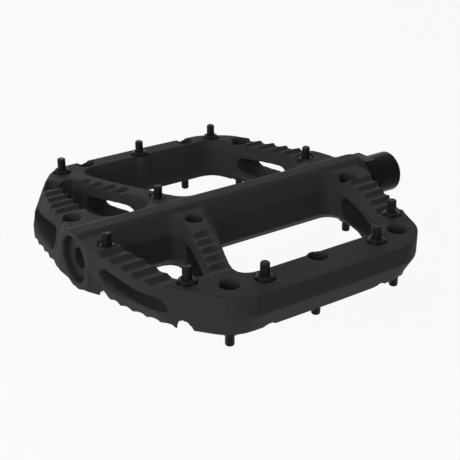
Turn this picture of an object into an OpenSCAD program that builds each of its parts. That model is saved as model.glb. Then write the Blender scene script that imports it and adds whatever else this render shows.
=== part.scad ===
// Flat bicycle pedal: a one-piece moulded platform that spins on a stepped
// steel spindle, with screwed traction pins on both faces.
// X runs along the axle towards the crank, Y is fore and aft, Z is up.
// The origin is the crank seat: the spindle's shoulder, on the axle axis.
// The platform maps onto itself when it is turned half a turn about the axle.
// Sizes along the axle are measured from the centre of the pin field.

/* [Platform] */
// Size of the platform fore and aft
platform_depth = 115; // [110:1:122]
// Thickness of the side rails
rail_t = 13.4; // [13:0.2:15]
// Width of a side rail between its outer wall and the big window
rail_w = 13.1; // [12:0.1:14]
// Thickness beside the axle, where the pins nearest the spindle stand
crown_t = 15.6; // [15.2:0.2:16.4]
// Distance from the axle at which the faces start to fall to the rails
crown_flat = 12; // [10:1:16]
// Distance from the axle at which the faces have reached the rails
crown_end = 44; // [40:1:46]
// Outboard end of the platform, from the centre of the pin field
outboard_len = 48; // [47:0.5:50]
// Inboard end of the axle boss, from the centre of the pin field
inboard_len = 56.6; // [55.5:0.1:58]
// Length of the axle boss beyond the inboard end of the frame
boss_len = 3.4; // [2.6:0.1:4]
// Setback of the bevelled edge on each face
bevel_w = 6.6; // [5:0.2:7.4]
// Height above the middle at which that bevel starts
bevel_start = 1.3; // [0.5:0.1:2]

/* [Axle beam] */
// Width of the beam around the spindle
beam_w = 17.2; // [16.8:0.2:19]
// Thickness of the beam over its raised spine
beam_t = 17.4; // [17:0.2:19]
// Width of the spine where it meets the crown
spine_w = 8.8; // [8:0.2:10]
// Height of the beam's flat sides
beam_side_h = 8.2; // [7:0.2:9]

/* [Windows] */
// Half height of the windows' straight walls, where the sloped edges start
wall_h = 4.1; // [3:0.1:5]
// Start of the slots through the struts and the end rails, from the axle
slot_start = 13.9; // [13.9:0.1:15]
// End of the slots, from the axle
slot_end = 34.8; // [32:0.2:35]
// Height of the slots at their start
slot_h = 7.2; // [5:0.2:7.4]
// Height of the slots at their end
slot_end_h = 4.8; // [3.6:0.2:5.4]
// Start of the wider slot pockets in the outboard rails, from the axle
pocket_start = 13.8; // [13.8:0.1:15]
// End of the wider slot pockets in the outboard rails, from the axle
pocket_end = 39; // [36:0.2:39]
// Height of those pockets at their start
pocket_h = 5.8; // [5.4:0.1:6]
// Height of those pockets at their end
pocket_end_h = 4.8; // [4:0.1:5]
// Rise of the pockets and of the outboard rails' slots above the middle
pocket_lift = 0.5; // [0.4:0.1:0.6]
// How deep those pockets go in from the outboard end
pocket_depth = 9; // [6:0.5:9]
// Depth of the flared mouth under each pocket, from the outboard end
mouth_depth = 4.2; // [3.6:0.1:4.4]
// Fall of that mouth's floor over its depth and overrun
mouth_fall = 5.4; // [5:0.1:5.6]

/* [Grip grooves] */
// Depth of a grip groove
groove_depth = 0.95; // [0.4:0.05:1]
// Length of a rail groove from its steep side to the next crest
groove_len = 4.4; // [3.6:0.1:4.6]
// Length of a strut groove from its steep side to the next crest
strut_groove_len = 4.1; // [3.6:0.1:4.2]
// Length of the steep side
groove_drop = 0.7; // [0.4:0.1:1.2]
// Start of the first groove on the end rails, from the axle
groove_start = 14.2; // [14:0.2:15]
// Spacing of the grooves on the end rails
groove_pitch = 4.9; // [4.7:0.1:5.1]
// Start of the first groove on the struts, from the axle
strut_groove_start = 18.4; // [18:0.2:20]
// Spacing of the grooves on the struts
strut_groove_pitch = 4.5; // [4.4:0.1:4.8]
// Grooves in each row
groove_count = 5; // [3:1:5]
// Reach of the outboard rails' grooves from the outboard end
groove_reach_out = 16.5; // [15.5:0.1:17]
// Reach of the inboard rails' grooves from the frame's inboard end
groove_reach_in = 22.7; // [20:0.1:24]
// Smooth rim between the grooves of a strut and the big window
groove_rim = 1.4; // [0.8:0.1:2]

/* [Pins] */
// Diameter of a pin's shank
pin_d = 2.6; // [2.2:0.1:3]
// Height of the pin tips above the rail face
pin_h = 4.5; // [3.5:0.1:6]
// Diameter of a pin's head
pin_head_d = 4.6; // [4.2:0.1:4.8]
// Height of a pin's head
pin_head_h = 2.5; // [2:0.1:3]
// Width of the hex socket in a pin's head, across flats
pin_hex = 2; // [1.5:0.1:2.5]
// Depth of that socket
pin_hex_depth = 1.4; // [1:0.1:1.6]
// Width of a pin nut, across flats
nut_w = 5; // [4.6:0.1:5.2]
// Thickness of a pin nut
nut_t = 2; // [1.6:0.1:2.4]
// How far a pin nut stands above the rail face
nut_stand = 1; // [0.6:0.1:1.2]
// Diameter of the access bore for a pin's head
access_d = 5.5; // [5.2:0.1:5.6]
// Height of the head's seat, from the middle of the platform
pin_seat = 0; // [-0.5:0.1:0.5]
// Diameter of the round bosses around the pins beside the windows
pin_boss_d = 8; // [7:0.2:8.4]
// Distance of the window-side pin row from the side of the platform
pin_row_inner = 10; // [9.6:0.1:10.4]
// Distance of the edge-side pin row from the side of the platform
pin_row_outer = 8; // [7.6:0.1:8.4]
// Distance of the outboard corner pin from the outboard end
corner_pin_end = 12.5; // [12.2:0.1:13]
// Distance of the outboard corner pin from the side of the platform
corner_pin_side = 17.6; // [17:0.1:18]
// Distance of the inboard corner pin from the frame's inboard end
inner_pin_end = 16.6; // [16:0.1:17.2]
// Distance of the inboard corner pin from the side of the platform
inner_pin_side = 19; // [18.6:0.1:19.4]

/* [Spindle] */
// Pitch diameter of the 9/16 in crank thread, drawn as a plain cylinder
thread_d = 13.48; // [13.48]
// Length of the crank thread
thread_len = 10.4; // [10:0.2:14]
// Lead-in chamfer at the end of the crank thread
thread_chamfer = 0.8; // [0.4:0.1:1.2]
// Diameter of the crank collar
collar_d = 17; // [16:0.2:17.4]
// Length of the crank collar
collar_len = 3.9; // [3:0.1:5]
// Width over the wrench flats on the collar
wrench_w = 15; // [15]
// Diameter of the journal in the dust seal
seal_journal_d = 13; // [12.6:0.1:13.4]
// Diameter of the journal in the plain bush
bush_journal_d = 12; // [11.4:0.1:12.2]
// Diameter of the slender middle at its outboard end
waist_d = 8; // [7.6:0.1:9]
// Diameter of the journal in the ball bearings
bearing_journal_d = 6; // [6]
// Width of the hex socket in the crank end, across flats
key_w = 8; // [6:1:8]
// Depth of the hex socket in the crank end
key_depth = 8; // [6:0.5:12]
// Length of the shoulder that the ball bearings seat on
shoulder_len = 3; // [2:0.5:4]
// Length of the plain waist beyond that shoulder
waist_len = 4.6; // [3:0.2:6]
// Length of the thin neck just before the bush journal
neck_len = 2; // [1:0.5:3]
// Depth of that neck below the journal
neck_depth = 0.4; // [0.2:0.1:0.6]
// Length of the journal outboard of the bush
journal_lead = 1; // [0.5:0.5:2]

/* [Bearings] */
// Outer diameter of a ball bearing
bearing_d = 13; // [13]
// Width of a ball bearing
bearing_w = 5; // [4.6:0.1:5.2]
// Width of the lip that stops the ball bearings
bearing_lip = 1.3; // [1:0.1:1.4]
// Thickness of that lip
bearing_lip_t = 2; // [1.5:0.5:3]
// Diameter of the balls
ball_d = 2.38; // [2.3:0.01:2.4]
// Balls in each bearing
ball_count = 8; // [6:1:9]
// Wall of each bearing ring beside its groove
ring_wall = 0.95; // [0.85:0.01:1]
// Thickness of the ball cage
cage_t = 0.6; // [0.4:0.1:0.7]
// Width of the ball cage
cage_w = 3.4; // [3:0.1:3.6]
// Thickness of a bearing's seals
bearing_seal_t = 0.4; // [0.2:0.05:0.5]
// Setback of a bearing's seals from its faces
bearing_seal_in = 0.15; // [0.1:0.05:0.2]
// Length of the plain bush
bush_len = 14.8; // [12:0.2:16]
// Wall of the plain bush
bush_wall = 1; // [0.8:0.05:1.05]
// Thickness of the thrust washer
thrust_t = 0.6; // [0.4:0.1:0.8]

/* [Seals and end cap] */
// Depth of the dust seal's recess
seal_depth = 2.6; // [2:0.1:3]
// Diameter of the dust seal's recess
seal_d = 15.2; // [15:0.1:15.4]
// Thickness of the dust seal's outer flange
seal_flange_t = 1; // [0.6:0.1:1.4]
// Diameter of the end cap's bore
cap_bore_d = 13.7; // [13.5:0.1:14]
// Depth of that bore behind the cap
cap_relief = 1.1; // [0.8:0.1:1.4]
// How far the end cap sits inside the outboard end
cap_inset = 2.1; // [1.5:0.1:2.3]
// Thickness of the end cap
cap_t = 3.3; // [3:0.1:3.5]
// Width of the end cap's hex socket, across flats
cap_hex = 6; // [5:0.5:8]
// Depth of the end cap's hex socket
cap_hex_depth = 2.3; // [1.5:0.1:2.5]
// Section diameter of the end cap's sealing ring
ring_d = 1; // [0.8:0.1:1.2]

/* [Spindle nut] */
// Width of the spindle nut, across flats
spindle_nut_w = 8; // [7.5:0.1:9]
// Thickness of the spindle nut
spindle_nut_t = 3.6; // [3:0.1:3.8]
// Thickness of the washer under the spindle nut
washer_t = 0.8; // [0.5:0.1:1]
// How far the spindle's end stands out of the nut
spindle_tail = 0.6; // [0.4:0.1:1]

/* [Fits] */
// Radial clearance of a running fit
run_gap = 0.03; // [0.02:0.01:0.05]
// Radial clearance of a fixed fit
fixed_gap = 0.02; // [0.01:0.01:0.04]
// Gap between the dust seal and the crank collar
seat_gap = 0.1; // [0.05:0.05:0.3]
// Gap between the end cap and the spindle's end
end_gap = 1.2; // [0.8:0.1:2]
// Clearance around the spindle between the ball bearings and the bush
waist_gap = 0.5; // [0.4:0.1:0.8]

/* [Hidden] */

$fn = 96;
CORNER_STEPS = 5;
MIN_RUN = 0.8;
ROUND_STEP = 22.5;
GROOVE_STEPS = 5;
CUT = 4;
// Where the slots of the struts start, inside the small window
SLOTS_FROM = 14;
CHAMFER = 0.3;

crown_z = crown_t / 2;
rail_z = rail_t / 2;
half_depth = platform_depth / 2;
window_edge = half_depth - rail_w;
frame_end = inboard_len - boss_len;
outboard_end = -outboard_len;
side = -half_depth;

// Stations along the axle, from the centre of the pin field.
collar_x = inboard_len + seal_flange_t + seat_gap;
seat_x = collar_x + collar_len;
seal_x = inboard_len - seal_depth;
bush_end = seal_x - thrust_t;
bush_start = bush_end - bush_len;
cap_out = outboard_end + cap_inset;
cap_in = cap_out + cap_t;
cap_bore_end = cap_in + cap_relief;
spindle_end = cap_in + end_gap;
nut_x = spindle_end + spindle_tail;
washer_x = nut_x + spindle_nut_t;
bearing_x = washer_x + washer_t;
bearing_end = bearing_x + 2 * bearing_w;

// Radii along the axle.
bearing_r = bearing_d / 2;
journal_r = bearing_journal_d / 2;
pitch_r = (bearing_r + journal_r) / 2;
bush_r = bush_journal_d / 2 + run_gap + bush_wall;
clear_r = bush_journal_d / 2 + waist_gap;
lip_r = bearing_r - bearing_lip;
shoulder_r = journal_r + ring_wall - 0.1;

// Pins that stand on the top face: [x, y, boss around it]. The pins of the
// bottom face are the same ones after half a turn about the axle.
PINS = [
  [-27.5, -side - pin_row_inner, false],
  [1.4, -side - pin_row_inner, true],
  [30.5, -side - pin_row_inner, false],
  [-13.8, beam_w / 2 + 1.5, false],
  [frame_end - 9.1, beam_w / 2 + 2.2, false],
  [outboard_end + 5.4, -beam_w / 2 - 2, false],
  [outboard_end + corner_pin_end, side + corner_pin_side, false],
  [-17.9, side + pin_row_outer, false],
  [20.7, side + pin_row_outer, false],
  [frame_end - inner_pin_end, side + inner_pin_side, false]];

// Corners of the near half of the outline, [x, y, radius], from the outboard
// end round to the inboard end: on the full wall, and at the bevel's edge.
OUTLINE = [
  [outboard_end, -5.5, 1],
  [outboard_end, -9.6, 4],
  [outboard_end + 0.4, -12.2, 4],
  [outboard_end + 1.1, -18.7, 6],
  [outboard_end + 2.8, side + 23.5, 18],
  [outboard_end + 17.8, side + 0.3, 14],
  [4, side, 60],
  [28.4, side + 0.1, 14],
  [frame_end - 16.2, side + 8.2, 14],
  [frame_end - 1.6, -12.2, 3],
  [frame_end, -7.5, 2]];
BEVEL = [
  [outboard_end + 0.1, -5, 1],
  [outboard_end + 2.1, -9.6, 1],
  [outboard_end + 3.6, -12, 1],
  [outboard_end + 4.1, -18.7, 4],
  [outboard_end + 9.7, side + 19.2, 12],
  [outboard_end + 19.2, side + bevel_w, 12],
  [4, side + bevel_w - 0.3, 60],
  [28.4, side + bevel_w, 12],
  [frame_end - 15, side + 12.9, 12],
  [frame_end - 2.6, -12, 3],
  [frame_end - 1.6, -7.5, 2]];

// Corners of the windows beside the near rail, [x, y, radius]: on the straight
// wall, on the top face and on the bottom face.
BIG_WALL = [
  [-6.5, -beam_w / 2 + 0.1, 6],
  [-15.8, -28.5, 30],
  [-23.2, -window_edge, 6],
  [29.5, -window_edge, 8],
  [frame_end - 16.8, -24, 20],
  [frame_end - 13.4, -beam_w / 2 + 0.1, 6]];
BIG_TOP = [
  [-8.3, -spine_w / 2 + 0.1, 8],
  [-17.8, -28.5, 30],
  [-24.6, -window_edge - 1.5, 6],
  [29.5, -window_edge - 1.5, 7],
  [frame_end - 11.8, -21, 20],
  [frame_end - 9.4, -spine_w / 2 + 0.1, 6]];
BIG_BOTTOM = [
  [-8.3, -spine_w / 2 + 0.1, 8],
  [-19.2, -28.5, 30],
  [-25, -window_edge - 1.5, 7],
  [30.5, -window_edge - 1.5, 7],
  [frame_end - 11.8, -21, 20],
  [frame_end - 9.4, -spine_w / 2 + 0.1, 6]];
SMALL_WALL = [
  [outboard_end + 8.6, -beam_w / 2 + 0.1, 5],
  [outboard_end + 10.6, -24, 30],
  [outboard_end + 12.8, side + 18.7, 8],
  [-28, side + 18.7, 2],
  [-24, -28, 30],
  [-18, -beam_w / 2 + 0.1, 4]];
SMALL_TOP = [
  [outboard_end + 7, -spine_w / 2 + 0.1, 6],
  [outboard_end + 9.2, -24, 30],
  [outboard_end + 10.8, side + 18.1, 8],
  [-27.4, side + 18.1, 1.5],
  [-22.9, -28, 30],
  [-14.8, -spine_w / 2 + 0.1, 6]];
SMALL_BOTTOM = [
  [outboard_end + 10.6, -spine_w / 2 + 0.1, 9],
  [outboard_end + 13.2, -24, 20],
  [outboard_end + 16, side + 18.1, 3],
  [-27.8, side + 18.1, 1],
  [-25.2, -28, 30],
  [-15.6, -spine_w / 2 + 0.1, 6]];
rail_groove_out = outboard_end + groove_reach_out;
rail_groove_in = frame_end - groove_reach_in;
strut_groove_out = rail_groove_out + CHAMFER;

// ---- Helpers ----

function unit(v) = v / norm(v);

// Curve that rounds corner p between its neighbours a and b, kept short enough
// to leave half of each side to the next corner.
function corner_arc(a, p, b, r) =
  let (
    u = unit([a.x - p.x, a.y - p.y]),
    v = unit([b.x - p.x, b.y - p.y]),
    half = acos(max(-1, min(1, u * v))) / 2,
    side = min(norm([a.x - p.x, a.y - p.y]), norm([b.x - p.x, b.y - p.y])),
    run = min(max(r / tan(half), MIN_RUN), 0.46 * side))
  [for (k = [0:CORNER_STEPS])
    let (t = k / CORNER_STEPS)
    [p.x, p.y] + u * run * (1 - t) * (1 - t) + v * run * t * t];

// Counter-clockwise outline with every corner [x, y, radius] rounded.
function rounded(corners) =
  let (n = len(corners))
  [for (i = [0:n - 1])
    each corner_arc(corners[(i + n - 1) % n], corners[i], corners[(i + 1) % n], corners[i][2])];

function mix(a, b, t) = [for (i = [0:len(a) - 1]) a[i] * (1 - t) + b[i] * t];

function near_corners(z) =
  mix(OUTLINE, BEVEL, max(0, (bevel_start - z) / (bevel_start + crown_z)));

// Outline of the whole platform at height z.
function platform_ring(z) =
  let (near = near_corners(z), far = near_corners(-z), n = len(near))
  rounded(concat(near, [for (i = [n - 1:-1:0]) [far[i].x, -far[i].y, far[i][2]]]));

// Solid through a stack of outlines, [height, points], with equal counts.
module skin(rings) {
  n = len(rings[0][1]);
  top = len(rings) - 1;
  points = [for (ring = rings) for (p = ring[1]) [p.x, p.y, ring[0]]];
  sides = [for (k = [0:top - 1]) for (i = [0:n - 1])
    let (a = k * n + i, b = k * n + (i + 1) % n)
    each [[a, a + n, b + n], [a, b + n, b]]];
  polyhedron(points, concat(
    [[for (i = [0:n - 1]) i]],
    sides,
    [[for (i = [n - 1:-1:0]) top * n + i]]), convexity = 8);
}

// Puts a piece drawn from the centre of the pin field into the pedal's frame.
module placed() {
  translate([-seat_x, 0, 0]) children();
}

// Solid of revolution about the axle, from [x, radius] points.
module turned(profile) {
  rotate([0, 90, 0])
    rotate_extrude() polygon([for (p = profile) [p[1], p[0]]]);
}

module ring(x0, x1, r0, r1) {
  turned([[x0, r0], [x0, r1], [x1, r1], [x1, r0]]);
}

// Prism along the axle, with its section drawn in Y and Z.
module along_axle(x0, x1) {
  translate([x0, 0, 0]) rotate([90, 0, 90]) linear_extrude(x1 - x0) children();
}

module hex_along_axle(x0, x1, width) {
  translate([x0, 0, 0]) rotate([0, 90, 0]) cylinder(d = width / cos(30), h = x1 - x0, $fn = 6);
}

// Draws its children as they are, and again after half a turn about the axle.
module both_faces() {
  children();
  rotate([180, 0, 0]) children();
}

// Draws its children on the near side, and again mirrored on the far side.
module both_sides() {
  children();
  mirror([0, 1, 0]) children();
}

// ---- Platform ----

// Height of the top face at a distance from the axle.
function face_z(y) =
  let (t = max(0, min(1, (abs(y) - crown_flat) / (crown_end - crown_flat))))
  crown_z + (rail_z - crown_z) * t;

module crown_section() {
  reach = half_depth + CUT;
  upper = [[reach, rail_z], [crown_end, rail_z], [crown_flat, crown_z],
    [-crown_flat, crown_z], [-crown_end, rail_z], [-reach, rail_z]];
  polygon(concat(upper, [for (p = upper) -p]));
}

module frame_blank() {
  intersection() {
    skin([for (z = [-crown_z - 1, -bevel_start, bevel_start, crown_z + 1]) [z, platform_ring(z)]]);
    along_axle(outboard_end - CUT, inboard_len) crown_section();
  }
}

module window(wall, top, bottom) {
  skin([
    [-crown_z - CUT, rounded(bottom)],
    [-crown_z, rounded(bottom)],
    [-wall_h, rounded(wall)],
    [wall_h, rounded(wall)],
    [crown_z, rounded(top)],
    [crown_z + CUT, rounded(top)]]);
}

module beam() {
  quarter = [[beam_w / 2, beam_side_h / 2], [spine_w / 2, crown_z], [spine_w / 4, beam_t / 2]];
  half = concat(quarter, [for (i = [2:-1:0]) [-quarter[i].x, quarter[i].y]]);
  along_axle(outboard_end, inboard_len) polygon(concat(half, [for (p = half) -p]));
}

// One grip groove across x0..x1. Its steep side falls from the crest, and its
// floor then rises towards -Y. Both sides of the cutter run on above the face.
module groove(crest, x0, x1, length) {
  overrun = 1.15;
  above = crown_z + CUT;
  floor_line = [for (k = [0:GROOVE_STEPS])
    let (t = overrun * k / GROOVE_STEPS, y = crest - groove_drop - (length - groove_drop) * t)
    [y, face_z(y) - groove_depth * (1 - t * t)]];
  along_axle(x0, x1) polygon(concat(
    [[crest + groove_drop, above], [crest + groove_drop, face_z(crest) + groove_depth]],
    floor_line,
    [[floor_line[GROOVE_STEPS].x, above]]));
}

module rail_groove(crest) {
  groove(crest, outboard_end - CUT, rail_groove_out, groove_len);
  groove(crest, rail_groove_in, frame_end + CUT, groove_len);
}

// Groove on a strut, up to the rim beside the big window's edge from a to b.
module strut_groove(crest, a, b) {
  edge = a.x + (b.x - a.x) * (abs(crest) + a.y) / (a.y - b.y);
  groove(crest, strut_groove_out, edge - groove_rim, strut_groove_len);
}

// All grooves of the top face, near side and far side.
module grip_grooves() {
  for (i = [0:groove_count - 1]) {
    rail_groove(-groove_start - i * groove_pitch);
    rail_groove(groove_start + groove_len + i * groove_pitch);
    strut_groove(-strut_groove_start - i * strut_groove_pitch, BIG_TOP[0], BIG_TOP[1]);
  }
  for (i = [0:groove_count - 2])
    strut_groove(strut_groove_start + strut_groove_len + i * strut_groove_pitch,
      BIG_BOTTOM[0], BIG_BOTTOM[1]);
}

// Section of a slot on the near side from y0 to y1, with round ends of height
// h0 and h1. Its floor is lowered by fall.
function slot_ring(y0, y1, h0, h1, fall = 0) = concat(
  [for (a = [90:ROUND_STEP:270])
    [-y0 - h0 / 2 * (1 + cos(a)), h0 / 2 * sin(a) + fall * min(0, sin(a))]],
  [for (a = [-90:ROUND_STEP:90])
    [-y1 + h1 / 2 * (1 - cos(a)), h1 / 2 * sin(a) + fall * min(0, sin(a))]]);

module slot(y0, y1, h0, h1, x0, x1) {
  along_axle(x0, x1) polygon(slot_ring(y0, y1, h0, h1));
}

// Slots through the struts and the inboard rails.
module slots() {
  slot(slot_start, slot_end, slot_h, slot_end_h, outboard_end + SLOTS_FROM, frame_end + CUT);
}

// Slot through an outboard rail, with its wider pocket and flared mouth.
module outboard_slot() {
  over = 1;
  narrow = 0.3;
  translate([0, 0, pocket_lift]) {
    slot(slot_start, slot_end, slot_h - 2 * pocket_lift, slot_end_h - pocket_lift,
      outboard_end - CUT, outboard_end + SLOTS_FROM + CUT / 2);
    slot(pocket_start, pocket_end, pocket_h, pocket_end_h,
      outboard_end - CUT, outboard_end + pocket_depth);
    rotate([90, 0, 90]) skin([
      [outboard_end - over, slot_ring(pocket_start + narrow, pocket_end - narrow,
        pocket_h - narrow, pocket_end_h - narrow, mouth_fall)],
      [outboard_end + mouth_depth, slot_ring(pocket_start + narrow, pocket_end - narrow,
        pocket_h - narrow, pocket_end_h - narrow)]]);
  }
}

module pin_bosses() {
  boss_end_r = (nut_w + nut_t / 2) / 2;
  for (pin = PINS)
    if (pin[2])
      translate([pin.x, pin.y, 0]) rotate_extrude() polygon([
        [0, -rail_z], [boss_end_r, -rail_z], [pin_boss_d / 2, -wall_h],
        [pin_boss_d / 2, wall_h], [boss_end_r, rail_z], [0, rail_z]]);
}

// Everything that is cut for the pins of the top face: the access bore from
// below, the shank's hole and the hex pocket for the nut.
module pin_holes() {
  nut_floor = rail_z + nut_stand - nut_t;
  for (pin = PINS)
    translate([pin.x, pin.y, 0]) {
      translate([0, 0, -crown_z - CUT]) cylinder(d = access_d, h = crown_z + CUT + pin_seat);
      cylinder(d = pin_d + 2 * fixed_gap, h = crown_z);
      translate([0, 0, nut_floor])
        cylinder(d = (nut_w + 2 * fixed_gap) / cos(30), h = CUT, $fn = 6);
    }
}

module axle_bore() {
  lip_end = bearing_end + bearing_lip_t;
  turned([
    [outboard_end - CUT, 0], [outboard_end - CUT, cap_bore_d / 2],
    [cap_bore_end, cap_bore_d / 2], [cap_bore_end, bearing_r],
    [bearing_end, bearing_r], [bearing_end, lip_r],
    [lip_end, lip_r], [lip_end, clear_r],
    [bush_start, clear_r], [bush_start, bush_r],
    [seal_x, bush_r], [seal_x, seal_d / 2],
    [inboard_len + CUT, seal_d / 2], [inboard_len + CUT, 0]]);
}

module platform_body() {
  color([0.05, 0.05, 0.055]) placed() difference() {
    union() {
      difference() {
        frame_blank();
        both_faces() window(BIG_WALL, BIG_TOP, BIG_BOTTOM);
        both_faces() window(SMALL_WALL, SMALL_TOP, SMALL_BOTTOM);
      }
      beam();
      both_faces() pin_bosses();
    }
    both_sides() slots();
    both_faces() outboard_slot();
    both_faces() grip_grooves();
    both_faces() pin_holes();
    axle_bore();
  }
}

// ---- Pins ----

module pin() {
  r = pin_d / 2;
  tip = rail_z + pin_h;
  head = pin_seat - pin_head_h;
  difference() {
    rotate_extrude() polygon([
      [0, head], [pin_head_d / 2 - CHAMFER, head],
      [pin_head_d / 2, head + CHAMFER], [pin_head_d / 2, pin_seat],
      [r, pin_seat], [r, tip - CHAMFER], [r - CHAMFER, tip], [0, tip]]);
    translate([0, 0, head - CUT])
      cylinder(d = pin_hex / cos(30), h = pin_hex_depth + CUT, $fn = 6);
  }
}

module top_pin(i) {
  color([0.16, 0.16, 0.17]) placed() translate([PINS[i].x, PINS[i].y, 0]) pin();
}

module bottom_pin(i) {
  rotate([180, 0, 0]) top_pin(i);
}

// Hex nut with a rounded crown, in its pocket.
module pin_nut() {
  low = rail_z + nut_stand - nut_t;
  corner_r = nut_w / 2 / cos(30);
  crown = nut_t / 2;
  difference() {
    intersection() {
      translate([0, 0, low]) cylinder(r = corner_r, h = nut_t, $fn = 6);
      rotate_extrude() polygon(concat(
        [[0, low], [corner_r + CHAMFER, low]],
        [for (a = [0:30:90]) [corner_r + CHAMFER / 2 - crown * (1 - cos(a)), low + nut_t - crown * (1 - sin(a))]],
        [[0, low + nut_t]]));
    }
    translate([0, 0, low - CUT]) cylinder(r = pin_d / 2 + fixed_gap, h = nut_t + 2 * CUT);
  }
}

module pin_nuts_top() {
  color([0.2, 0.2, 0.21]) placed()
    for (pin = PINS) translate([pin.x, pin.y, 0]) pin_nut();
}

module pin_nuts_bottom() {
  rotate([180, 0, 0]) pin_nuts_top();
}

// ---- Spindle group ----

module spindle() {
  collar_r = collar_d / 2;
  thread_r = thread_d / 2;
  bush_journal_r = bush_journal_d / 2;
  seal_journal_r = seal_journal_d / 2;
  seat_r = journal_r - fixed_gap;
  end_x = seat_x + thread_len;
  shoulder_end = bearing_end + shoulder_len;
  waist_x = shoulder_end + CHAMFER;
  journal_x = bush_start - journal_lead;
  step_x = seal_x + run_gap;
  color([0.13, 0.13, 0.14]) placed() difference() {
    turned([
      [spindle_end, 0], [spindle_end, seat_r - CHAMFER],
      [spindle_end + CHAMFER, seat_r], [bearing_end, seat_r],
      [bearing_end, shoulder_r], [shoulder_end, shoulder_r],
      [waist_x, waist_d / 2], [waist_x + waist_len, waist_d / 2],
      [journal_x - neck_len, bush_journal_r - neck_depth], [journal_x, bush_journal_r],
      [step_x, bush_journal_r], [step_x, seal_journal_r],
      [collar_x, seal_journal_r], [collar_x, collar_r - CHAMFER],
      [collar_x + CHAMFER, collar_r], [seat_x - CHAMFER, collar_r], [seat_x, collar_r - CHAMFER],
      [seat_x, thread_r], [end_x - thread_chamfer, thread_r],
      [end_x, thread_r - thread_chamfer], [end_x, 0]]);
    both_faces() translate([collar_x - CUT, -collar_d, wrench_w / 2])
      cube([collar_len + 2 * CUT, 2 * collar_d, collar_d]);
    hex_along_axle(end_x - key_depth, end_x + CUT, key_w);
  }
}

module spindle_washer() {
  color([0.45, 0.45, 0.47]) placed()
    ring(washer_x, bearing_x, journal_r, shoulder_r);
}

module spindle_nut() {
  color([0.2, 0.2, 0.21]) placed() difference() {
    hex_along_axle(nut_x, washer_x, spindle_nut_w);
    ring(nut_x - CUT, washer_x + CUT, 0, journal_r);
  }
}

// ---- Inboard bush and seal ----

module plain_bush() {
  color([0.55, 0.42, 0.2]) placed()
    ring(bush_start + fixed_gap, bush_end, bush_journal_d / 2 + run_gap, bush_r - fixed_gap);
}

module thrust_washer() {
  color([0.8, 0.75, 0.6]) placed()
    ring(bush_end, seal_x, bush_journal_d / 2 + 2 * run_gap, bush_r - 2 * run_gap);
}

module dust_seal() {
  inner = seal_journal_d / 2 + run_gap;
  outer = seal_d / 2 - fixed_gap;
  flange_r = collar_d / 2 - 0.2;
  flange_end = inboard_len + seal_flange_t;
  color([0.03, 0.03, 0.03]) placed()
    turned([[seal_x + fixed_gap, inner], [seal_x + fixed_gap, outer],
      [inboard_len, outer], [inboard_len, flange_r],
      [flange_end - CHAMFER, flange_r], [flange_end, flange_r - CHAMFER],
      [flange_end, inner]]);
}

// ---- Ball bearings ----

module ball_track(x) {
  rotate([0, 90, 0]) rotate_extrude()
    translate([pitch_r, x + bearing_w / 2]) circle(d = ball_d + 2 * run_gap, $fn = 48);
}

module balls(x, d) {
  for (i = [0:ball_count - 1])
    rotate([i * 360 / ball_count, 0, 0])
      translate([x + bearing_w / 2, 0, pitch_r]) sphere(d = d, $fn = 48);
}

module inner_race(x) {
  color([0.75, 0.75, 0.77]) placed() difference() {
    ring(x, x + bearing_w, journal_r, journal_r + ring_wall);
    ball_track(x);
  }
}

module outer_race(x) {
  color([0.75, 0.75, 0.77]) placed() difference() {
    ring(x, x + bearing_w, bearing_r - ring_wall, bearing_r - fixed_gap);
    ball_track(x);
  }
}

module bearing_balls(x) {
  color([0.85, 0.85, 0.87]) placed() balls(x, ball_d);
}

module bearing_cage(x) {
  middle = x + bearing_w / 2;
  color([0.6, 0.6, 0.62]) placed() difference() {
    ring(middle - cage_w / 2, middle + cage_w / 2, pitch_r - cage_t / 2, pitch_r + cage_t / 2);
    balls(x, ball_d + 4 * run_gap);
  }
}

module bearing_seals(x) {
  inner = journal_r + ring_wall + 2 * run_gap;
  outer = bearing_r - ring_wall - fixed_gap;
  first = x + bearing_seal_in;
  last = x + bearing_w - bearing_seal_in;
  color([0.04, 0.04, 0.04]) placed() {
    ring(first, first + bearing_seal_t, inner, outer);
    ring(last - bearing_seal_t, last, inner, outer);
  }
}

// ---- Outboard end cap ----

module end_cap() {
  r = cap_bore_d / 2 - fixed_gap;
  middle = (cap_out + cap_in) / 2;
  groove_half = ring_d / 2 + 0.05;
  color([0.1, 0.1, 0.11]) placed() difference() {
    turned([[cap_out, 0], [cap_out, r - CHAMFER], [cap_out + CHAMFER, r],
      [middle - groove_half, r], [middle - groove_half, r - ring_d],
      [middle + groove_half, r - ring_d], [middle + groove_half, r],
      [cap_in, r], [cap_in, 0]]);
    hex_along_axle(cap_out - CUT, cap_out + cap_hex_depth, cap_hex);
  }
}

module end_cap_ring() {
  color([0.03, 0.03, 0.03]) placed()
    rotate([0, 90, 0]) rotate_extrude()
      translate([cap_bore_d / 2 - fixed_gap - ring_d / 2, (cap_out + cap_in) / 2])
        circle(d = ring_d - 2 * fixed_gap, $fn = 32);
}

platform_body();
spindle();
plain_bush();
thrust_washer();
dust_seal();
inner_race(bearing_x);  // outer_bearing_inner_race
outer_race(bearing_x);  // outer_bearing_outer_race
bearing_balls(bearing_x);  // outer_bearing_balls
bearing_cage(bearing_x);  // outer_bearing_cage
bearing_seals(bearing_x);  // outer_bearing_seals
inner_race(bearing_x + bearing_w);  // inner_bearing_inner_race
outer_race(bearing_x + bearing_w);  // inner_bearing_outer_race
bearing_balls(bearing_x + bearing_w);  // inner_bearing_balls
bearing_cage(bearing_x + bearing_w);  // inner_bearing_cage
bearing_seals(bearing_x + bearing_w);  // inner_bearing_seals
spindle_washer();
spindle_nut();
end_cap();
end_cap_ring();
pin_nuts_top();
pin_nuts_bottom();
for (i = [0:len(PINS) - 1]) {
  top_pin(i);
  bottom_pin(i);
}
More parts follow.
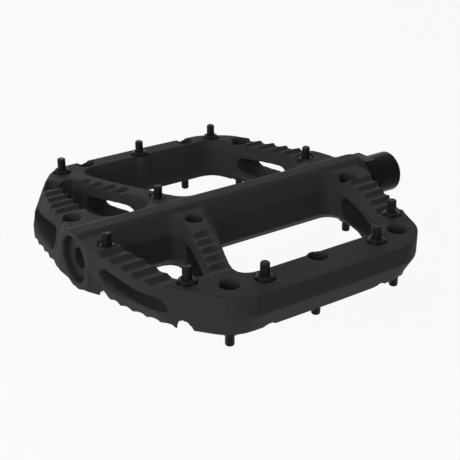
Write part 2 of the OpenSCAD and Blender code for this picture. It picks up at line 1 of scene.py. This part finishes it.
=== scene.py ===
import math

import bmesh
import bpy
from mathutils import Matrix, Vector


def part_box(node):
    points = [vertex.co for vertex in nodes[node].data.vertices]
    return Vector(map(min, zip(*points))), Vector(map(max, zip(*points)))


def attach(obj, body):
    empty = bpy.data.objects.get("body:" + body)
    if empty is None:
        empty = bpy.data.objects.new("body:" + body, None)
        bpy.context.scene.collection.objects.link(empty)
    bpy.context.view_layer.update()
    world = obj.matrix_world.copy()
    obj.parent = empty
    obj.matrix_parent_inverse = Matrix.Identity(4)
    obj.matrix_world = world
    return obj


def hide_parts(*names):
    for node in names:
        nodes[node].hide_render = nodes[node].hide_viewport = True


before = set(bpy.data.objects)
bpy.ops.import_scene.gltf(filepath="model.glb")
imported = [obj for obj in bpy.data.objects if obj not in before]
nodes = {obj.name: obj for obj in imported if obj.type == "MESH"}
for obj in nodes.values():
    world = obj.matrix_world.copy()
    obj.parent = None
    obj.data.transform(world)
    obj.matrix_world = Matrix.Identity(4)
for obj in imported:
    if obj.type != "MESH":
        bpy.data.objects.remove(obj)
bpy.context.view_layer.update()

# ---------------------------------------------------------------------------
# Camera.
# The pedal is seen from its outboard end, a little above the tread, so that
# the end cap faces left and the crank thread points away to the right.
# ---------------------------------------------------------------------------

MM = 0.001
CAMERA_AIM = Vector((-62.085, -8.908, 0.0)) * MM
CAMERA_AZIMUTH = math.radians(-34.93)
CAMERA_HEIGHT = math.radians(24.89)
CAMERA_RANGE = 299.85 * MM
CAMERA_LENS = 78.417
CAMERA_SENSOR = 36.0
CAMERA_NEAREST = 10.0 * MM

camera_data = bpy.data.cameras.new("camera")
camera_data.lens = CAMERA_LENS
camera_data.sensor_width = CAMERA_SENSOR
camera_data.clip_start = CAMERA_NEAREST
camera = bpy.data.objects.new("camera", camera_data)
bpy.context.scene.collection.objects.link(camera)
towards_camera = Vector((
    math.sin(CAMERA_AZIMUTH) * math.cos(CAMERA_HEIGHT),
    -math.cos(CAMERA_AZIMUTH) * math.cos(CAMERA_HEIGHT),
    math.sin(CAMERA_HEIGHT)))
camera.location = CAMERA_AIM + towards_camera * CAMERA_RANGE
camera.rotation_mode = "QUATERNION"
camera.rotation_quaternion = (-towards_camera).to_track_quat("-Z", "Y")
bpy.context.scene.camera = camera
bpy.context.scene.view_settings.view_transform = "Standard"

# ---------------------------------------------------------------------------
# Table.
# A plain pale sheet, far enough under the axle for the platform to turn over.
# It looks white to the camera and in reflections, and keeps a faint shadow.
# ---------------------------------------------------------------------------

TABLE_HALF = 1.6
AXLE_HEIGHT = 60.0 * MM
TABLE_COLOUR = (0.84, 0.79, 0.73, 1)
TABLE_ROUGHNESS = 0.9
SHADOW_SHARE = 0.10
WHITE = (1, 1, 1, 1)


def new_material(name):
    """An empty node material with its Principled shader and its output."""
    material = bpy.data.materials.new(name)
    material.use_nodes = True
    tree = material.node_tree
    tree.nodes.clear()
    out = tree.nodes.new("ShaderNodeOutputMaterial")
    shader = tree.nodes.new("ShaderNodeBsdfPrincipled")
    tree.links.new(shader.outputs[0], out.inputs[0])
    return material, tree, shader, out


def white_to_the_eye(tree, surface, out, share):
    """Plain white to camera, glossy and transmission rays, apart from a share
    of the lit surface that still shows through."""
    path = tree.nodes.new("ShaderNodeLightPath")
    seen = path.outputs["Is Camera Ray"]
    for ray in ("Is Glossy Ray", "Is Transmission Ray"):
        either = tree.nodes.new("ShaderNodeMath")
        either.operation = "MAXIMUM"
        tree.links.new(seen, either.inputs[0])
        tree.links.new(path.outputs[ray], either.inputs[1])
        seen = either.outputs[0]
    amount = tree.nodes.new("ShaderNodeMath")
    amount.operation = "MULTIPLY"
    tree.links.new(seen, amount.inputs[0])
    amount.inputs[1].default_value = 1.0 - share
    in_world = out.type == "OUTPUT_WORLD"
    white = tree.nodes.new("ShaderNodeBackground" if in_world else "ShaderNodeEmission")
    white.inputs["Color"].default_value = WHITE
    white.inputs["Strength"].default_value = 1.0
    mix = tree.nodes.new("ShaderNodeMixShader")
    tree.links.new(amount.outputs[0], mix.inputs[0])
    tree.links.new(surface, mix.inputs[1])
    tree.links.new(white.outputs[0], mix.inputs[2])
    tree.links.new(mix.outputs[0], out.inputs[0])


table_material, tree, shader, out = new_material("table_paper")
shader.inputs["Base Color"].default_value = TABLE_COLOUR
shader.inputs["Roughness"].default_value = TABLE_ROUGHNESS
white_to_the_eye(tree, shader.outputs[0], out, SHADOW_SHARE)

table_mesh = bpy.data.meshes.new("table")
table_mesh.from_pydata(
    [(sx * TABLE_HALF, sy * TABLE_HALF, -AXLE_HEIGHT)
     for sx, sy in ((-1, -1), (1, -1), (1, 1), (-1, 1))],
    [], [(0, 1, 2, 3)])
table = bpy.data.objects.new("table", table_mesh)
table_mesh.materials.append(table_material)
bpy.context.scene.collection.objects.link(table)

# ---------------------------------------------------------------------------
# Platform body.
# One injection moulding in black glass-filled nylon. The mould leaves every
# edge slightly round and the skin satin, with a very fine spark texture.
# ---------------------------------------------------------------------------

BODY_WELD = 0.0001 * MM
BODY_GRID = 0.36 * MM
BODY_SOFTENING = 5
BODY_SOFTNESS = 0.5
BODY_TRIANGLES = 190000
NYLON_DARK = (0.0168, 0.0157, 0.0144)
NYLON_LIGHT = (0.0209, 0.0196, 0.0182)
GRAIN_DETAIL = 3.0
DRIFT_DETAIL = 2.0
GRAIN_LOW = 0.3
GRAIN_HIGH = 0.7
GRAIN_RELIEF = 0.05 * MM


def surface_group():
    """Fine grain and slow tone drift over a surface, from Object coordinates."""
    group = bpy.data.node_groups.new("moulded_surface", "ShaderNodeTree")
    for label in ("Grain Size", "Drift Size"):
        group.interface.new_socket(label, in_out="INPUT", socket_type="NodeSocketFloat")
    for label in ("Grain", "Drift"):
        group.interface.new_socket(label, in_out="OUTPUT", socket_type="NodeSocketFloat")
    start = group.nodes.new("NodeGroupInput")
    end = group.nodes.new("NodeGroupOutput")
    place = group.nodes.new("ShaderNodeTexCoord")
    for label, detail in (("Grain", GRAIN_DETAIL), ("Drift", DRIFT_DETAIL)):
        noise = group.nodes.new("ShaderNodeTexNoise")
        noise.inputs["Detail"].default_value = detail
        group.links.new(place.outputs["Object"], noise.inputs["Vector"])
        group.links.new(start.outputs[label + " Size"], noise.inputs["Scale"])
        group.links.new(noise.outputs["Fac"], end.inputs[label])
    return group


moulded_surface = surface_group()


def finish_material(name, dark, light, rough, grain, drift, bump, metallic=0.0, specular=0.5):
    """A finish that drifts between two tones, with a grain in its gloss and relief.
    Grain and drift are in cells to the metre; rough is a pair, smooth to coarse."""
    material, tree, shader, _ = new_material(name)
    surface = tree.nodes.new("ShaderNodeGroup")
    surface.node_tree = moulded_surface
    surface.inputs["Grain Size"].default_value = grain
    surface.inputs["Drift Size"].default_value = drift
    tone = tree.nodes.new("ShaderNodeMix")
    tone.data_type = "RGBA"
    tone.inputs["A"].default_value = (*dark, 1)
    tone.inputs["B"].default_value = (*light, 1)
    tree.links.new(surface.outputs["Drift"], tone.inputs["Factor"])
    tree.links.new(tone.outputs["Result"], shader.inputs["Base Color"])
    spread = tree.nodes.new("ShaderNodeMapRange")
    spread.inputs["From Min"].default_value = GRAIN_LOW
    spread.inputs["From Max"].default_value = GRAIN_HIGH
    spread.inputs["To Min"].default_value = rough[0]
    spread.inputs["To Max"].default_value = rough[1]
    tree.links.new(surface.outputs["Grain"], spread.inputs["Value"])
    tree.links.new(spread.outputs["Result"], shader.inputs["Roughness"])
    relief = tree.nodes.new("ShaderNodeBump")
    relief.inputs["Strength"].default_value = bump
    relief.inputs["Distance"].default_value = GRAIN_RELIEF
    tree.links.new(surface.outputs["Grain"], relief.inputs["Height"])
    tree.links.new(relief.outputs["Normal"], shader.inputs["Normal"])
    shader.inputs["Metallic"].default_value = metallic
    shader.inputs["Specular IOR Level"].default_value = specular
    return material


def work_out(piece):
    """Makes the piece a plain mesh with its modifiers worked out."""
    seen = piece.evaluated_get(bpy.context.evaluated_depsgraph_get())
    plain = bpy.data.meshes.new_from_object(seen)
    piece.modifiers.clear()
    piece.data = plain
    plain.name = piece.name
    return plain


nylon = finish_material(
    "black_nylon", NYLON_DARK, NYLON_LIGHT, rough=(0.58, 0.70),
    grain=5200.0, drift=45.0, bump=0.10, specular=0.08)

body_mesh = nodes["platform_body"].data.copy()
body_mesh.name = "moulded_platform"
work = bmesh.new()
work.from_mesh(body_mesh)
bmesh.ops.remove_doubles(work, verts=work.verts, dist=BODY_WELD)
work.to_mesh(body_mesh)
work.free()
body = bpy.data.objects.new("moulded_platform", body_mesh)
bpy.context.scene.collection.objects.link(body)
cast = body.modifiers.new("cast", "REMESH")
cast.mode = "VOXEL"
cast.voxel_size = BODY_GRID
soften = body.modifiers.new("soften", "SMOOTH")
soften.factor = BODY_SOFTNESS
soften.iterations = BODY_SOFTENING
plain = work_out(body)
triangles = sum(len(face.vertices) - 2 for face in plain.polygons)
if triangles > BODY_TRIANGLES:
    thin = body.modifiers.new("thin", "DECIMATE")
    thin.ratio = BODY_TRIANGLES / triangles
    plain = work_out(body)
plain.materials.clear()
plain.materials.append(nylon)
for face in plain.polygons:
    face.use_smooth = True
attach(body, "platform")
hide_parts("platform_body")

# ---------------------------------------------------------------------------
# Traction pins.
# Twenty short screws in black oxide steel, ten from each face. The shank
# stands out of one face, and the socket head sits in a bore from the other.
# ---------------------------------------------------------------------------

PIN_SHANK_R = 1.3
PIN_HEAD_R = 2.3
PIN_HEAD_H = 2.5
PIN_HEAD_ROUND = 0.3
PIN_SOCKET_W = 2.0
PIN_SOCKET_DEPTH = 1.4
PIN_SOCKET_CONE = 0.35
PIN_SIDES = 36
PIN_EDGE_ANGLE = 35.0
PIN_STEEL_DARK = (0.0044, 0.0044, 0.0045)
PIN_STEEL_LIGHT = (0.0074, 0.0074, 0.0075)

pin_steel = finish_material(
    "pin_black_oxide", PIN_STEEL_DARK, PIN_STEEL_LIGHT, rough=(0.26, 0.38),
    grain=3000.0, drift=200.0, bump=0.04, specular=0.08)


def hex_reach(angle, across):
    """Distance from the middle of a hexagon to its side, at an angle."""
    sixth = math.pi / 3
    return across / 2 / math.cos((angle + sixth / 2) % sixth - sixth / 2)


def lathe(name, rings, sides, edge_angle):
    """A closed solid about Z in metres, from rings of (height, reach) in mm.
    A reach is a radius, or a function of the angle where the ring isn't round."""
    work = bmesh.new()
    loops = []
    for height, reach in rings:
        loop = []
        for k in range(sides):
            angle = 2 * math.pi * k / sides
            r = reach(angle) if callable(reach) else reach
            place = Vector((r * math.cos(angle), r * math.sin(angle), height))
            loop.append(work.verts.new(place * MM))
        loops.append(loop)
    for low, high in zip(loops, loops[1:]):
        for k in range(sides):
            after = (k + 1) % sides
            work.faces.new((low[k], low[after], high[after], high[k]))
    work.faces.new(loops[0][::-1])
    work.faces.new(loops[-1])
    bmesh.ops.recalc_face_normals(work, faces=work.faces)
    for edge in work.edges:
        if len(edge.link_faces) == 2 and edge.calc_face_angle(0.0) > math.radians(edge_angle):
            edge.smooth = False
    mesh = bpy.data.meshes.new(name)
    work.to_mesh(mesh)
    work.free()
    for face in mesh.polygons:
        face.use_smooth = True
    return mesh


def socket_wall(share):
    """The hexagon of the pin's socket, at a share of its width."""
    return lambda angle: share * hex_reach(angle, PIN_SOCKET_W)


pin_low, pin_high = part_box("pin_top_1")
pin_foot = pin_low.z / MM
pin_seat = pin_foot + PIN_HEAD_H
pin_tip = pin_high.z / MM

pin_shape = lathe("pin_shape", [
    (pin_foot + PIN_SOCKET_DEPTH - PIN_SOCKET_CONE, 0.05),
    (pin_foot + PIN_SOCKET_DEPTH, socket_wall(0.96)),
    (pin_foot + 0.15, socket_wall(1.0)),
    (pin_foot, socket_wall(1.12)),
    (pin_foot, PIN_HEAD_R - PIN_HEAD_ROUND),
    (pin_foot + 0.1, PIN_HEAD_R - 0.1),
    (pin_foot + PIN_HEAD_ROUND, PIN_HEAD_R),
    (pin_seat, PIN_HEAD_R),
    (pin_seat, PIN_SHANK_R),
    (pin_tip - 0.45, PIN_SHANK_R),
    (pin_tip - 0.28, PIN_SHANK_R - 0.05),
    (pin_tip - 0.08, PIN_SHANK_R - 0.22),
    (pin_tip, PIN_SHANK_R - 0.36),
    (pin_tip - 0.06, PIN_SHANK_R - 0.6),
    (pin_tip - 0.1, 0.1)], PIN_SIDES, PIN_EDGE_ANGLE)


def place_tree(name):
    """Geometry nodes: a shape at every point, turned by the point's own turn, then made real."""
    tree = bpy.data.node_groups.new(name, "GeometryNodeTree")
    for label, kind in (("Geometry", "NodeSocketGeometry"), ("Shape", "NodeSocketObject"),
                        ("Finish", "NodeSocketMaterial")):
        tree.interface.new_socket(label, in_out="INPUT", socket_type=kind)
    tree.interface.new_socket("Geometry", in_out="OUTPUT", socket_type="NodeSocketGeometry")
    start = tree.nodes.new("NodeGroupInput")
    end = tree.nodes.new("NodeGroupOutput")
    shape = tree.nodes.new("GeometryNodeObjectInfo")
    turn = tree.nodes.new("GeometryNodeInputNamedAttribute")
    turn.data_type = "FLOAT_VECTOR"
    turn.inputs["Name"].default_value = "turn"
    spread = tree.nodes.new("GeometryNodeInstanceOnPoints")
    real = tree.nodes.new("GeometryNodeRealizeInstances")
    finish = tree.nodes.new("GeometryNodeSetMaterial")
    join = tree.links.new
    join(start.outputs["Shape"], shape.inputs["Object"])
    join(start.outputs["Geometry"], spread.inputs["Points"])
    join(shape.outputs["Geometry"], spread.inputs["Instance"])
    join(turn.outputs["Attribute"], spread.inputs["Rotation"])
    join(spread.outputs["Instances"], real.inputs["Geometry"])
    join(real.outputs["Geometry"], finish.inputs["Geometry"])
    join(start.outputs["Finish"], finish.inputs["Material"])
    join(finish.outputs["Geometry"], end.inputs["Geometry"])
    return tree


pin_nodes = [node for node in nodes if node.startswith(("pin_top_", "pin_bottom_"))]
pin_places = place_tree("place_on_pins")


def on_every_pin(name, shape_mesh, material):
    """One mesh of the shape at all the pins: upright on the top face, turned over on the bottom."""
    spots, turns = [], []
    for node in sorted(pin_nodes):
        low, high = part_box(node)
        spots.append(((low.x + high.x) / 2, (low.y + high.y) / 2, 0.0))
        turns.append((0.0 if node.startswith("pin_top_") else math.pi, 0.0, 0.0))
    points = bpy.data.meshes.new(name + "_points")
    points.from_pydata(spots, [], [])
    turn = points.attributes.new("turn", "FLOAT_VECTOR", "POINT")
    for k, value in enumerate(turns):
        turn.data[k].vector = value
    shape = bpy.data.objects.new(name + "_shape", shape_mesh)
    bpy.context.scene.collection.objects.link(shape)
    piece = bpy.data.objects.new(name, points)
    bpy.context.scene.collection.objects.link(piece)
    placer = piece.modifiers.new("place", "NODES")
    placer.node_group = pin_places
    sockets = {item.name: item.identifier for item in pin_places.interface.items_tree
               if item.in_out == "INPUT"}
    placer[sockets["Shape"]] = shape
    placer[sockets["Finish"]] = material
    work_out(piece)
    bpy.data.objects.remove(shape)
    return piece


pins = on_every_pin("traction_pins", pin_shape, pin_steel)
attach(pins, "platform")
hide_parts(*pin_nodes)

# ---------------------------------------------------------------------------
# Pin nuts.
# A small hexagon nut in black oxide steel at the foot of each pin, pressed
# into its pocket, with a rounded crown and a shallow dish round the shank.
# ---------------------------------------------------------------------------

NUT_ACROSS = 5.0
NUT_T = 2.0
NUT_BORE_R = PIN_SHANK_R + 0.02
NUT_SIDES = 72
NUT_EDGE_ANGLE = 25.0

nut_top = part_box("pin_nuts_top")[1].z / MM
nut_foot = nut_top - NUT_T


def nut_ring(limit):
    """The nut's hexagon, cut round by a cone at the given radius."""
    return lambda angle: min(hex_reach(angle, NUT_ACROSS), limit)


nut_shape = lathe("nut_shape", [
    (nut_foot, NUT_BORE_R),
    (nut_foot, nut_ring(2.7)),
    (nut_foot + 0.12, nut_ring(2.9)),
    (nut_top - 1.05, nut_ring(2.9)),
    (nut_top - 0.85, nut_ring(2.78)),
    (nut_top - 0.65, nut_ring(2.6)),
    (nut_top - 0.42, nut_ring(2.38)),
    (nut_top - 0.2, 2.12),
    (nut_top - 0.06, 1.92),
    (nut_top, 1.76),
    (nut_top - 0.04, 1.62),
    (nut_top - 0.16, 1.46),
    (nut_top - 0.3, NUT_BORE_R)], NUT_SIDES, NUT_EDGE_ANGLE)
nuts = on_every_pin("pin_nuts", nut_shape, pin_steel)
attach(nuts, "platform")
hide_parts("pin_nuts_top", "pin_nuts_bottom")

# ---------------------------------------------------------------------------
# Spindle.
# Turned from one bar of chromoly steel and blacked: journals for the ball
# bearings and the bush, a collar with two wrench flats and the crank thread.
# ---------------------------------------------------------------------------

SPINDLE_DARK = (0.0025, 0.0025, 0.0026)
SPINDLE_LIGHT = (0.0045, 0.0045, 0.0046)


def dress(node, material):
    """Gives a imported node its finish."""
    node_mesh = nodes[node].data
    node_mesh.materials.clear()
    node_mesh.materials.append(material)


spindle_steel = finish_material(
    "spindle_black_oxide", SPINDLE_DARK, SPINDLE_LIGHT, rough=(0.20, 0.30),
    grain=2500.0, drift=120.0, bump=0.03, specular=0.05)
dress("spindle", spindle_steel)
dress("spindle_nut", spindle_steel)

# ---------------------------------------------------------------------------
# Crank-side bush, thrust washer and dust seal.
# A sintered bronze bush and an acetal washer run on the spindle's large
# journal, and a black nitrile seal keeps the dirt out.
# ---------------------------------------------------------------------------

BRONZE_DARK = (0.30, 0.19, 0.075)
BRONZE_LIGHT = (0.42, 0.28, 0.12)
ACETAL_DARK = (0.72, 0.69, 0.60)
ACETAL_LIGHT = (0.80, 0.77, 0.68)
RUBBER_DARK = (0.008, 0.008, 0.008)
RUBBER_LIGHT = (0.013, 0.013, 0.013)

bronze = finish_material(
    "sintered_bronze", BRONZE_DARK, BRONZE_LIGHT, rough=(0.42, 0.6),
    grain=3500.0, drift=150.0, bump=0.12, metallic=1.0)
acetal = finish_material(
    "natural_acetal", ACETAL_DARK, ACETAL_LIGHT, rough=(0.45, 0.55),
    grain=3000.0, drift=120.0, bump=0.04)
seal_rubber = finish_material(
    "nitrile_rubber", RUBBER_DARK, RUBBER_LIGHT, rough=(0.5, 0.65),
    grain=3000.0, drift=120.0, bump=0.10, specular=0.08)
dress("plain_bush", bronze)
dress("thrust_washer", acetal)
dress("dust_seal", seal_rubber)

# ---------------------------------------------------------------------------
# Ball bearings and spindle washer.
# Two sealed bearings at the outboard end: polished races and balls, a
# pressed steel cage and rubber seals, held by a washer and a lock nut.
# ---------------------------------------------------------------------------

RACE_DARK = (0.50, 0.50, 0.51)
RACE_LIGHT = (0.62, 0.62, 0.63)
CAGE_DARK = (0.32, 0.32, 0.33)
CAGE_LIGHT = (0.42, 0.42, 0.43)

race_steel = finish_material(
    "polished_race", RACE_DARK, RACE_LIGHT, rough=(0.12, 0.2),
    grain=2500.0, drift=150.0, bump=0.02, metallic=1.0)
cage_steel = finish_material(
    "pressed_cage", CAGE_DARK, CAGE_LIGHT, rough=(0.28, 0.4),
    grain=2500.0, drift=150.0, bump=0.05, metallic=1.0)
for side in ("outer", "inner"):
    for part in ("inner_race", "outer_race", "balls"):
        dress(f"{side}_bearing_{part}", race_steel)
    dress(f"{side}_bearing_cage", cage_steel)
    dress(f"{side}_bearing_seals", seal_rubber)
dress("spindle_washer", race_steel)

# ---------------------------------------------------------------------------
# Outboard end cap.
# A moulded plug with a hexagon socket that screws into the end of the axle
# bore, over a rubber ring.
# ---------------------------------------------------------------------------

CAP_DARK = (0.0165, 0.0157, 0.0146)
CAP_LIGHT = (0.0205, 0.0196, 0.0183)

cap_plastic = finish_material(
    "cap_satin_plastic", CAP_DARK, CAP_LIGHT, rough=(0.45, 0.55),
    grain=4200.0, drift=120.0, bump=0.06, specular=0.05)
dress("end_cap", cap_plastic)
dress("end_cap_ring", seal_rubber)

# ---------------------------------------------------------------------------
# Light.
# Broad soft lights in front on the left, at the outboard end and above it,
# a weak one behind, and a dim surround for the rest of the studio.
# ---------------------------------------------------------------------------

STUDIO_MIDDLE = Vector((-0.06, 0.0, 0.0))
DAYLIGHT = (1, 1, 1)
SKYLIGHT = (0.80, 0.91, 1.0)
ROOM_COLOUR = (0.78, 0.88, 1.0, 1)
ROOM_LEVEL = 0.33
LAMPS = (
    # name, place, width, depth, watts, colour
    ("front_left", (-0.60, -0.72, 0.42), 0.7, 0.5, 3.5, DAYLIGHT),
    ("outboard", (-0.95, -0.10, 0.25), 0.7, 0.5, 5.8, DAYLIGHT),
    ("overhead", (-0.75, -0.10, 0.65), 0.7, 0.7, 0.9, SKYLIGHT),
    ("back", (0.05, 1.0, 0.35), 0.7, 0.5, 1.8, SKYLIGHT))

for name, place, width, depth, watts, colour in LAMPS:
    lamp_data = bpy.data.lights.new(name, "AREA")
    lamp_data.shape = "RECTANGLE"
    lamp_data.size = width
    lamp_data.size_y = depth
    lamp_data.energy = watts
    lamp_data.color = colour
    lamp = bpy.data.objects.new(name, lamp_data)
    bpy.context.scene.collection.objects.link(lamp)
    lamp.location = place
    lamp.rotation_mode = "QUATERNION"
    lamp.rotation_quaternion = (Vector(place) - STUDIO_MIDDLE).to_track_quat("Z", "Y")

world = bpy.data.worlds.new("studio")
world.use_nodes = True
bpy.context.scene.world = world
tree = world.node_tree
tree.nodes.clear()
out = tree.nodes.new("ShaderNodeOutputWorld")
room = tree.nodes.new("ShaderNodeBackground")
room.inputs["Color"].default_value = ROOM_COLOUR
room.inputs["Strength"].default_value = ROOM_LEVEL
white_to_the_eye(tree, room.outputs[0], out, share=0.0)
